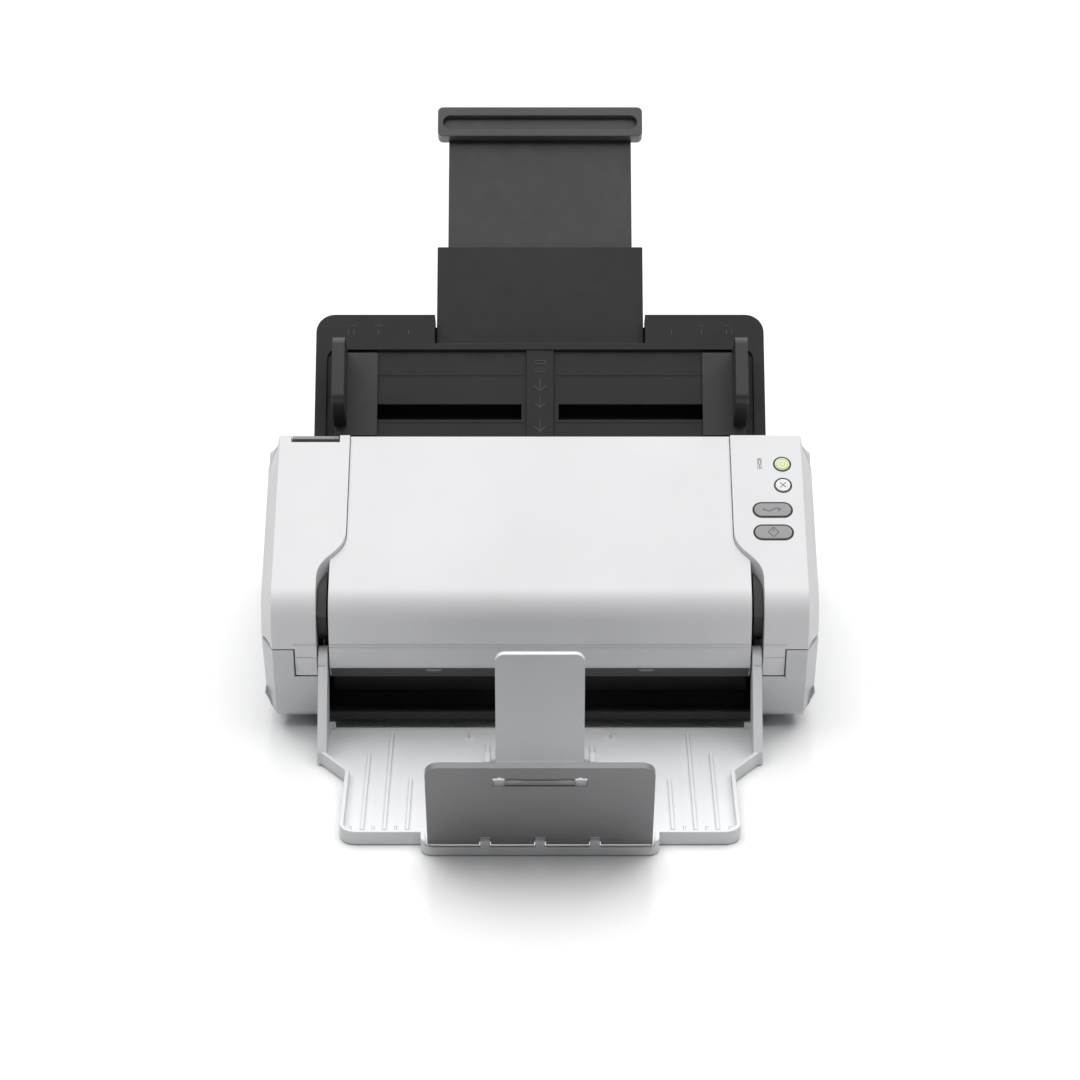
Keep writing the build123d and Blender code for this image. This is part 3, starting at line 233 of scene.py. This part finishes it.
# ---------------------------------------------------------------- drive train
# Inside the body: steel shafts and pins, rubber tyres and belt, acetal idlers and pulleys, glass
# strips over the sensors and two circuit boards.
gear_white = moulded("gear_white", (0.72, 0.71, 0.67), 0.4)
steel = moulded("steel", (0.55, 0.55, 0.56), 0.3, specular=0.5)
roller_rubber = moulded("roller_rubber", (0.05, 0.05, 0.055), 0.75, grain=1200, drift=0.15)
belt_rubber = moulded("belt_rubber", (0.02, 0.02, 0.02), 0.8, drift=0.2)
foot_rubber = moulded("foot_rubber", (0.06, 0.06, 0.06), 0.8, drift=0.2)
scan_glass = moulded("scan_glass", (0.03, 0.04, 0.045), 0.08, grain_height=0.000001)
board_green = moulded("board_green", (0.02, 0.14, 0.05), 0.35)
socket_black = moulded("socket_black", (0.02, 0.02, 0.02), 0.4)
for name, material in (
        ("eject_idlers", gear_white), ("lower_idlers", gear_white), ("upper_idlers", gear_white),
        ("guide_pinion", gear_white), ("motor_pulley", gear_white), ("shaft_bushes", gear_white),
        ("eject_shaft", steel), ("lower_shaft", steel), ("upper_shaft", steel),
        ("feed_shaft", steel), ("idler_axles", steel), ("hinge_pins", steel),
        ("stopper_pins", steel), ("latch_rod", steel), ("board_screws", steel),
        ("drive_motor", steel),
        ("eject_tyres", roller_rubber), ("lower_tyres", roller_rubber),
        ("upper_tyres", roller_rubber), ("feed_tyres", roller_rubber),
        ("separation_roller", roller_rubber), ("drive_belt", belt_rubber),
        ("rubber_feet", foot_rubber), ("lower_glass", scan_glass), ("upper_glass", scan_glass),
        ("main_board", board_green), ("button_board", board_green),
        ("rear_sockets", socket_black)):
    finish_node(name, material, 0.0002)

# ---------------------------------------------------------------- marks on the power button
# The power button's cap is a pale light guide, lit from behind by a green lamp.  Its ring and
# its sign are translucent ink, printed thick enough to feel, and they ride on the cap.
slope = math.radians(30)
slope_up = np.array([0.0, math.cos(slope), math.sin(slope)])
slope_out = np.array([0.0, -math.sin(slope), math.cos(slope)])
across = np.array([1.0, 0.0, 0.0])
sunk = 0.00015
mm = 0.001


def grid_faces(rows, columns, closed):
    """Quads between the rows of a grid whose columns go all the way round.  Corner (r, c)
    joins (r, c+1), (r+1, c+1) and (r+1, c); a closed strip joins its last row to its first."""
    r = np.arange(rows if closed else rows - 1)[:, None]
    c = np.arange(columns)[None, :]
    after, beside = (r + 1) % rows, (c + 1) % columns
    quads = np.stack([r * columns + c, r * columns + beside, after * columns + beside,
                      after * columns + c], axis=-1)
    return quads.reshape(-1, 4).tolist()


def outwards(points, faces):
    """The faces turned so that they enclose a positive volume: the sum over the corners' fans
    of p0 . (p1 x p2) / 6."""
    total = 0.0
    for count in {len(face) for face in faces}:
        ring = points[np.array([face for face in faces if len(face) == count])]
        for k in range(1, count - 1):
            total += np.einsum("ij,ij->i", ring[:, 0], np.cross(ring[:, k], ring[:, k + 1])).sum()
    return faces if total > 0 else [face[::-1] for face in faces]


def stroke(path, width, height, closed=False):
    """A raised line: at each path point the section is a low trapezium, width/2 either side at
    the base and 0.7 of that at the top, from `sunk` under the surface to `height` over it."""
    path = np.asarray(path, float)
    if closed:
        along = np.roll(path, -1, axis=0) - np.roll(path, 1, axis=0)
    else:
        along = np.gradient(path, axis=0)
    along /= np.linalg.norm(along, axis=1)[:, None]
    left = np.stack([-along[:, 1], along[:, 0]], axis=1)
    half = np.broadcast_to(np.asarray(width, float) / 2, len(path))[:, None]
    corners = [np.column_stack([path + side * half * left, np.full(len(path), level)])
               for side, level in ((-1, -sunk), (-0.7, height), (0.7, height), (1, -sunk))]
    points = np.stack(corners, axis=1).reshape(-1, 3)
    faces = grid_faces(len(path), 4, closed)
    if not closed:
        faces += [[0, 1, 2, 3], [4 * len(path) - 1 - k for k in range(4)]]
    return points, outwards(points, faces)


def prism(outline, low, high):
    """A flat shape with straight sides: the outline at two heights, joined all round."""
    outline = np.asarray(outline, float)
    count = len(outline)
    points = np.vstack([np.column_stack([outline, np.full(count, level)])
                        for level in (low, high)])
    faces = grid_faces(2, count, False)
    faces += [list(range(count)), list(range(2 * count - 1, count - 1, -1))]
    return points, outwards(points, faces)


def arc(centre, radius, start, end, count=40):
    """Points round a circle from one angle to another, in degrees."""
    turn = np.radians(np.linspace(start, end, count, endpoint=abs(end - start) < 360))
    return np.stack([centre[0] + radius * np.cos(turn), centre[1] + radius * np.sin(turn)], axis=1)


def line(start, end, count=2):
    """Points along a straight run."""
    return np.linspace(start, end, count)


def add_piece(name, shapes, origin, up, material, body, bevel=0.0):
    """Joins the shapes, carries each (u, v, h) to origin + u across + v up + h out, where out
    is across x up, and rides the new piece on its body."""
    out = np.cross(across, up)
    points, faces, base = [], [], 0
    for shape_points, shape_faces in shapes:
        points.append(origin + shape_points[:, :1] * across + shape_points[:, 1:2] * up
                      + shape_points[:, 2:] * out)
        faces += [[base + corner for corner in face] for face in shape_faces]
        base += len(shape_points)
    mesh = bpy.data.meshes.new(name)
    mesh.from_pydata(np.vstack(points).tolist(), [], faces)
    mesh.materials.append(material)
    piece = bpy.data.objects.new(name, mesh)
    bpy.context.collection.objects.link(piece)
    if bevel:
        edge = piece.modifiers.new("round", "BEVEL")
        edge.width = bevel
        edge.segments = 2
        edge.limit_method = "ANGLE"
        edge.use_clamp_overlap = False
    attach(piece, body)
    return piece


def cap_centre(name):
    """The middle of a cap's top face: the corners that stand furthest out of the slope."""
    corners = np.empty(3 * len(nodes[name].data.vertices))
    nodes[name].data.vertices.foreach_get("co", corners)
    corners = corners.reshape(-1, 3)
    world = np.array(nodes[name].matrix_world)
    corners = corners @ world[:3, :3].T + world[:3, 3]
    height = corners @ slope_out
    top = corners[height > height.max() - 0.00002]
    middle = (top.min(axis=0) + top.max(axis=0)) / 2
    return middle + (height.max() - middle @ slope_out) * slope_out


def glowing(name, colour, light):
    """Translucent ink over a lamp: a moulded finish that also gives off its own colour."""
    material = moulded(name, colour, 0.35)
    shader = material.node_tree.nodes["Principled BSDF"]
    shader.inputs["Emission Color"].default_value = (*colour, 1)
    shader.inputs["Emission Strength"].default_value = light
    return material


lit_green = glowing("lit_green", (0.42, 0.62, 0.12), 0.12)
power_ring = 3.05 * mm
power_sign = 1.45 * mm
add_piece("power_marks",
          [stroke(arc((0, 0), power_ring, 0, 360, 48), 0.5 * mm, 0.12 * mm, True),
           stroke(arc((0, 0), power_sign, 125, 415, 36), 0.6 * mm, 0.12 * mm),
           stroke(line((0, 0.2 * mm), (0, 2.2 * mm)), 0.6 * mm, 0.12 * mm)],
          cap_centre("power_button"), slope_up, lit_green, "power_button")

# ---------------------------------------------------------------- marks on the other buttons
# Signs printed in dark ink on the stop button and the two scan buttons, and the warning sign on
# its small window.  Each one rides on what it is printed on.
ink = moulded("ink", (0.06, 0.06, 0.065), 0.45, drift=0.2)
stop_reach = 1.6 * mm
stop_gap = 0.12 * mm
diagonals = [(sx, sy) for sx in (-1, 1) for sy in (-1, 1)]
add_piece("stop_marks",
          [stroke(line((sx * stop_gap, sy * stop_gap), (sx * stop_reach, sy * stop_reach)),
                  0.45 * mm, 0.1 * mm) for sx, sy in diagonals],
          cap_centre("stop_button"), slope_up, ink, "stop_button")


def wave(half, height, count=30):
    """One sine wave from -half to half."""
    u = np.linspace(-half, half, count)
    return np.stack([u, height * np.sin(u / half * math.pi)], axis=1)


sign = 0.42 * mm
low_ink = 0.1 * mm
add_piece("usb_scan_marks",
          [stroke(wave(4.2 * mm, 0.9 * mm), sign, low_ink),
           stroke(arc((-4.6 * mm, 0), 0.6 * mm, 0, 360, 16), sign * 0.7, low_ink, True),
           stroke(line((4.2 * mm, 0), (3.0 * mm, 1.0 * mm)), sign, low_ink),
           stroke(line((4.2 * mm, 0), (3.0 * mm, -1.0 * mm)), sign, low_ink)],
          cap_centre("usb_scan_button"), slope_up, ink, "usb_scan_button")
diamond = np.array([(-2.9, 0), (0, 3.1), (2.9, 0), (0, -3.1)]) * mm
diamond_path = np.vstack([line(diamond[k], diamond[(k + 1) % 4], 9)[:-1] for k in range(4)])
add_piece("pc_scan_marks",
          [stroke(diamond_path, sign, low_ink, True),
           stroke(line((0, 0.4 * mm), (0, 2.0 * mm)), sign, low_ink)],
          cap_centre("pc_scan_button"), slope_up, ink, "pc_scan_button")
warning_turn = np.radians(np.arange(0, 360, 12))
warning_loop = np.stack([(0.55 + 0.25 * np.sin(warning_turn)) * np.cos(warning_turn),
                         0.9 + 2.1 * np.sin(warning_turn)], axis=1) * mm
add_piece("warning_marks",
          [stroke(warning_loop, 0.45 * mm, 0.1 * mm, True),
           stroke(arc((0, -2.4 * mm), 0.5 * mm, 0, 360, 16), 0.45 * mm, 0.1 * mm, True)],
          cap_centre("warning_light"), slope_up, ink, "front_cover")

# ---------------------------------------------------------------- sleeves round the buttons
# A thin black sleeve lines each button hole, painted shade so that the gap round a cap reads as
# a dark ring.  The sleeves are one piece behind the panel and ride on the front cover.
sleeve_wall = 0.22 * mm
sleeve_rim = 0.3 * mm
sleeve_deep = 2.0 * mm
cap_sizes = {"power_button": (4.1, 4.1), "stop_button": (4.1, 4.1),
             "usb_scan_button": (10.1, 4.3), "pc_scan_button": (10.1, 4.3)}
hole_gap = 0.6


def pill_path(long_half, short_half, count=14):
    """A stadium: two half circles of the short half, joined by straight sides."""
    reach = long_half - short_half
    return np.vstack([arc((reach, 0), short_half, -90, 90, count),
                      arc((-reach, 0), short_half, 90, 270, count)])


def sleeve(centre, long_half, short_half):
    """A tube on the stadium path: inner and outer walls, closed at both ends by rims."""
    outer = pill_path((long_half + hole_gap) * mm + sleeve_rim,
                      (short_half + hole_gap) * mm + sleeve_rim)
    inner = pill_path((long_half + hole_gap) * mm - sleeve_wall,
                      (short_half + hole_gap) * mm - sleeve_wall)
    if long_half == short_half:
        outer = arc((0, 0), (short_half + hole_gap) * mm + sleeve_rim, 0, 360, 48)
        inner = arc((0, 0), (short_half + hole_gap) * mm - sleeve_wall, 0, 360, 48)
    top, low = 0.05 * mm, -sleeve_deep
    rings = [(outer, low), (outer, top), (inner, top), (inner, low)]
    points = np.stack([np.column_stack([ring, np.full(len(ring), level)])
                       for ring, level in rings], axis=1).reshape(-1, 3)
    points[:, :2] += centre
    return points, outwards(points, grid_faces(len(outer), 4, True))


panel_centre = cap_centre("stop_button")
cap_height = 0.5 * mm
sleeves = []
for name, (long_half, short_half) in cap_sizes.items():
    offset = cap_centre(name) - panel_centre
    sleeves.append(sleeve((offset @ across, offset @ slope_up), long_half, short_half))
# Black sleeves: painted shade in the gaps round the caps.
add_piece("button_gap_shade", sleeves, panel_centre - cap_height * slope_out, slope_up,
          frame_black, "front_cover")

# ---------------------------------------------------------------- dark lip over the exit
# Painted shade: a dark grey skin on the underside of the cover's front lip, where the sheets come
# out.
# Two small stop pads are clipped to it.
lip_front = np.array([0.0, seam_y + 3.30 * mm, 42.75 * mm])
lip_back = np.array([0.0, seam_y + 8.20 * mm, 35.35 * mm])
lip_up = (lip_back - lip_front) / np.linalg.norm(lip_back - lip_front)
lip_long = float(np.linalg.norm(lip_back - lip_front))
lip_inset = 0.6 * mm
lip_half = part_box("centre_cover")[1].x - lip_inset
# Dark grey for painted shade on the lip's underside.
lip_painted_shade = moulded("lip_painted_shade", (0.075, 0.075, 0.078), 0.45, drift=0.1)
lip_skin = 0.25 * mm
add_piece("exit_lip_shade",
          [prism([(-lip_half, 0), (lip_half, 0), (lip_half, lip_long), (-lip_half, lip_long)],
                 0.0, -lip_skin)],
          lip_front, lip_up, lip_painted_shade, "front_cover")
pad_x, pad_half = 57.0 * mm, 4.2 * mm
add_piece("exit_pads",
          [prism([(side * pad_x - pad_half, 0.4 * mm), (side * pad_x + pad_half, 0.4 * mm),
                  (side * pad_x + pad_half * 0.6, 1.8 * mm),
                  (side * pad_x - pad_half * 0.6, 1.8 * mm)], 0.0, -0.9 * mm)
           for side in (-1, 1)],
          lip_front, lip_up, stopper_grey, "front_cover", 0.0001)

# ---------------------------------------------------------------- eject tray details
# Short stiffening stubs inside the front rim and two small lugs near the rear edge, moulded in
# one with the pale grey tray.
tray_top = 3.5 * mm
flat_up = np.array([0.0, 1.0, 0.0])
tray_front_y = seam_y - 106.6 * mm
stub_x = (85.4, 73.8, 97.0)
stub_y = (tray_front_y + 2.2 * mm, tray_front_y + 8.5 * mm)
stubs = [stroke(line((side * x * mm, stub_y[0]), (side * x * mm, stub_y[1]), 6),
                1.3 * mm, 2.6 * mm) for x in stub_x for side in (-1, 1)]
lug_y = seam_y - 2.0 * mm


def lug(x, y):
    """The round boss of a small lug: rings of falling height, closed at both ends."""
    turn = np.radians(np.arange(0, 360, 20))
    rings = [np.column_stack([x + r * np.cos(turn), y + r * 0.8 * np.sin(turn),
                              np.full(len(turn), h)])
             for r, h in ((3.8 * mm, -sunk), (2.6 * mm, 0.7 * mm), (1.0 * mm, 2.2 * mm))]
    points = np.vstack(rings)
    faces = grid_faces(3, len(turn), False)
    faces += [list(range(len(turn))), list(range(3 * len(turn) - 1, 2 * len(turn) - 1, -1))]
    return points, outwards(points, faces)


lug_x = 38.3 * mm
blade_half = 2.4 * mm
lugs = [lug(side * lug_x, lug_y) for side in (-1, 1)]
blades = [stroke(line((side * lug_x, lug_y - blade_half), (side * lug_x, lug_y + blade_half)),
                 0.9 * mm, 3.2 * mm) for side in (-1, 1)]
add_piece("eject_tray_lugs", stubs + lugs + blades, np.array([0.0, 0.0, tray_top]), flat_up,
          tray_light, "eject_tray", 0.0002)

# ---------------------------------------------------------------- latch in the front stopper
# The window near the stopper's top is filled by a latch plate that leaves an L-shaped finger
# hole at each end, under a small corner block.  A spring bar with two swollen ends lies across.
lean = math.radians(22)
stopper_up = np.array([0.0, -math.sin(lean), math.cos(lean)])
stopper_out = np.cross(across, stopper_up)
stopper_axis = np.array([0.0, seam_y - 114.5 * mm, 8.5 * mm])
stopper_height = 61.5 * mm
window_drop = 11.0 * mm
window_centre = stopper_axis + (stopper_height - window_drop) * stopper_up
half_window = 23.45
left_end = [(-19.0, 3.45), (-19.0, 2.0), (-17.4, 2.0), (-17.4, -3.45)]
right_end = [(-u, v) for u, v in reversed(left_end)]
latch_outline = np.array(left_end + right_end) * mm
corner_block = np.array([(-half_window, 3.45), (-half_window, 2.0), (-21.0, 2.0),
                         (-21.0, 3.45)]) * mm
add_piece("stopper_latch",
          [prism(latch_outline, -1.2 * mm, 1.3 * mm), prism(corner_block, -1.2 * mm, 1.3 * mm),
           prism(corner_block * (-1, 1), -1.2 * mm, 1.3 * mm)],
          window_centre, stopper_up, stopper_grey, "front_stopper", 0.0001)
bar_u = np.linspace(-17.0, 17.0, 80) * mm
swell = np.exp(-((np.abs(bar_u) / mm - 13.0) / 3.6) ** 2)
bar_path = np.stack([bar_u, (0.6 - 0.5 * swell) * mm], axis=1)
bar_grey = moulded("bar_grey", (0.31, 0.31, 0.316), 0.35, drift=0.08)
add_piece("stopper_spring_bar", [stroke(bar_path, (0.7 + 2.6 * swell) * mm, 0.55 * mm)],
          window_centre + 1.3 * mm * stopper_out, stopper_up, bar_grey, "front_stopper")

# ---------------------------------------------------------------- lines on the document tray
# Raised lines cross the tray's two panels, three arrows are embossed down the middle strip,
# and small ticks on the upper band mark the common sheet widths.  All are one with the tray.
lean_back = math.radians(48)
tray_up = np.array([0.0, math.cos(lean_back), math.sin(lean_back)])
tray_out = np.cross(across, tray_up)
tray_foot = np.array([0.0, seam_y + 118.165 * mm, 123.733 * mm])
recess = 2.0 * mm
strip_top = 0.6 * mm
panel_inner, panel_outer, panel_side = 9.0 * mm, 98.0 * mm, 97.5 * mm
panel_foot, panel_middle, panel_head = 12.0 * mm, 39.7 * mm, 53.0 * mm
panel_lines = [stroke(line((side * panel_inner, a), (side * panel_outer, a), 4),
                      0.55 * mm, 0.22 * mm)
               for a in (panel_foot, panel_middle) for side in (-1, 1)]
panel_sides = [stroke(line((side * panel_side, panel_foot), (side * panel_side, panel_head), 4),
                      0.4 * mm, 0.18 * mm) for side in (-1, 1)]
add_piece("tray_panel_lines", panel_lines + panel_sides, tray_foot - recess * tray_out, tray_up,
          tray_black, "base")
mark_grey = moulded("mark_grey", (0.075, 0.076, 0.078), 0.35, drift=0.1)
arrows = []
for a in (6.0, 20.0, 30.0):
    tip = np.array([0.0, a * mm])
    wings = [tip + np.array([side * 3.0 * mm, 3.0 * mm]) for side in (-1, 1)]
    arrows += [stroke(line(tip, wing, 4), 0.6 * mm, 0.16 * mm) for wing in wings]
    arrows.append(stroke(line(tip, tip + np.array([0.0, 7.0 * mm]), 4), 0.6 * mm, 0.16 * mm))
sheet_mark = [pill_path(3.4 * mm, 0.9 * mm, 8) + np.array([0.0, 42.5 * mm]),
              pill_path(3.4 * mm, 0.9 * mm, 8) + np.array([0.0, 47.0 * mm])]
arrows += [stroke(path, 0.4 * mm, 0.14 * mm, True) for path in sheet_mark]
add_piece("tray_arrows", arrows, tray_foot - strip_top * tray_out, tray_up, mark_grey, "base")
ticks = [stroke(line((side * x * mm, 63.5 * mm), (side * x * mm, 66.0 * mm)), 0.5 * mm, 0.1 * mm)
         for x in (74.0, 91.0, 105.0, 108.0) for side in (-1, 1)]
ticks += [stroke(line((side * (x - 2.0) * mm, 68.5 * mm), (side * (x + 2.0) * mm, 68.5 * mm)),
                 0.4 * mm, 0.1 * mm) for x in (91.0, 105.0) for side in (-1, 1)]
add_piece("tray_size_ticks", ticks, tray_foot, tray_up, mark_grey, "base")
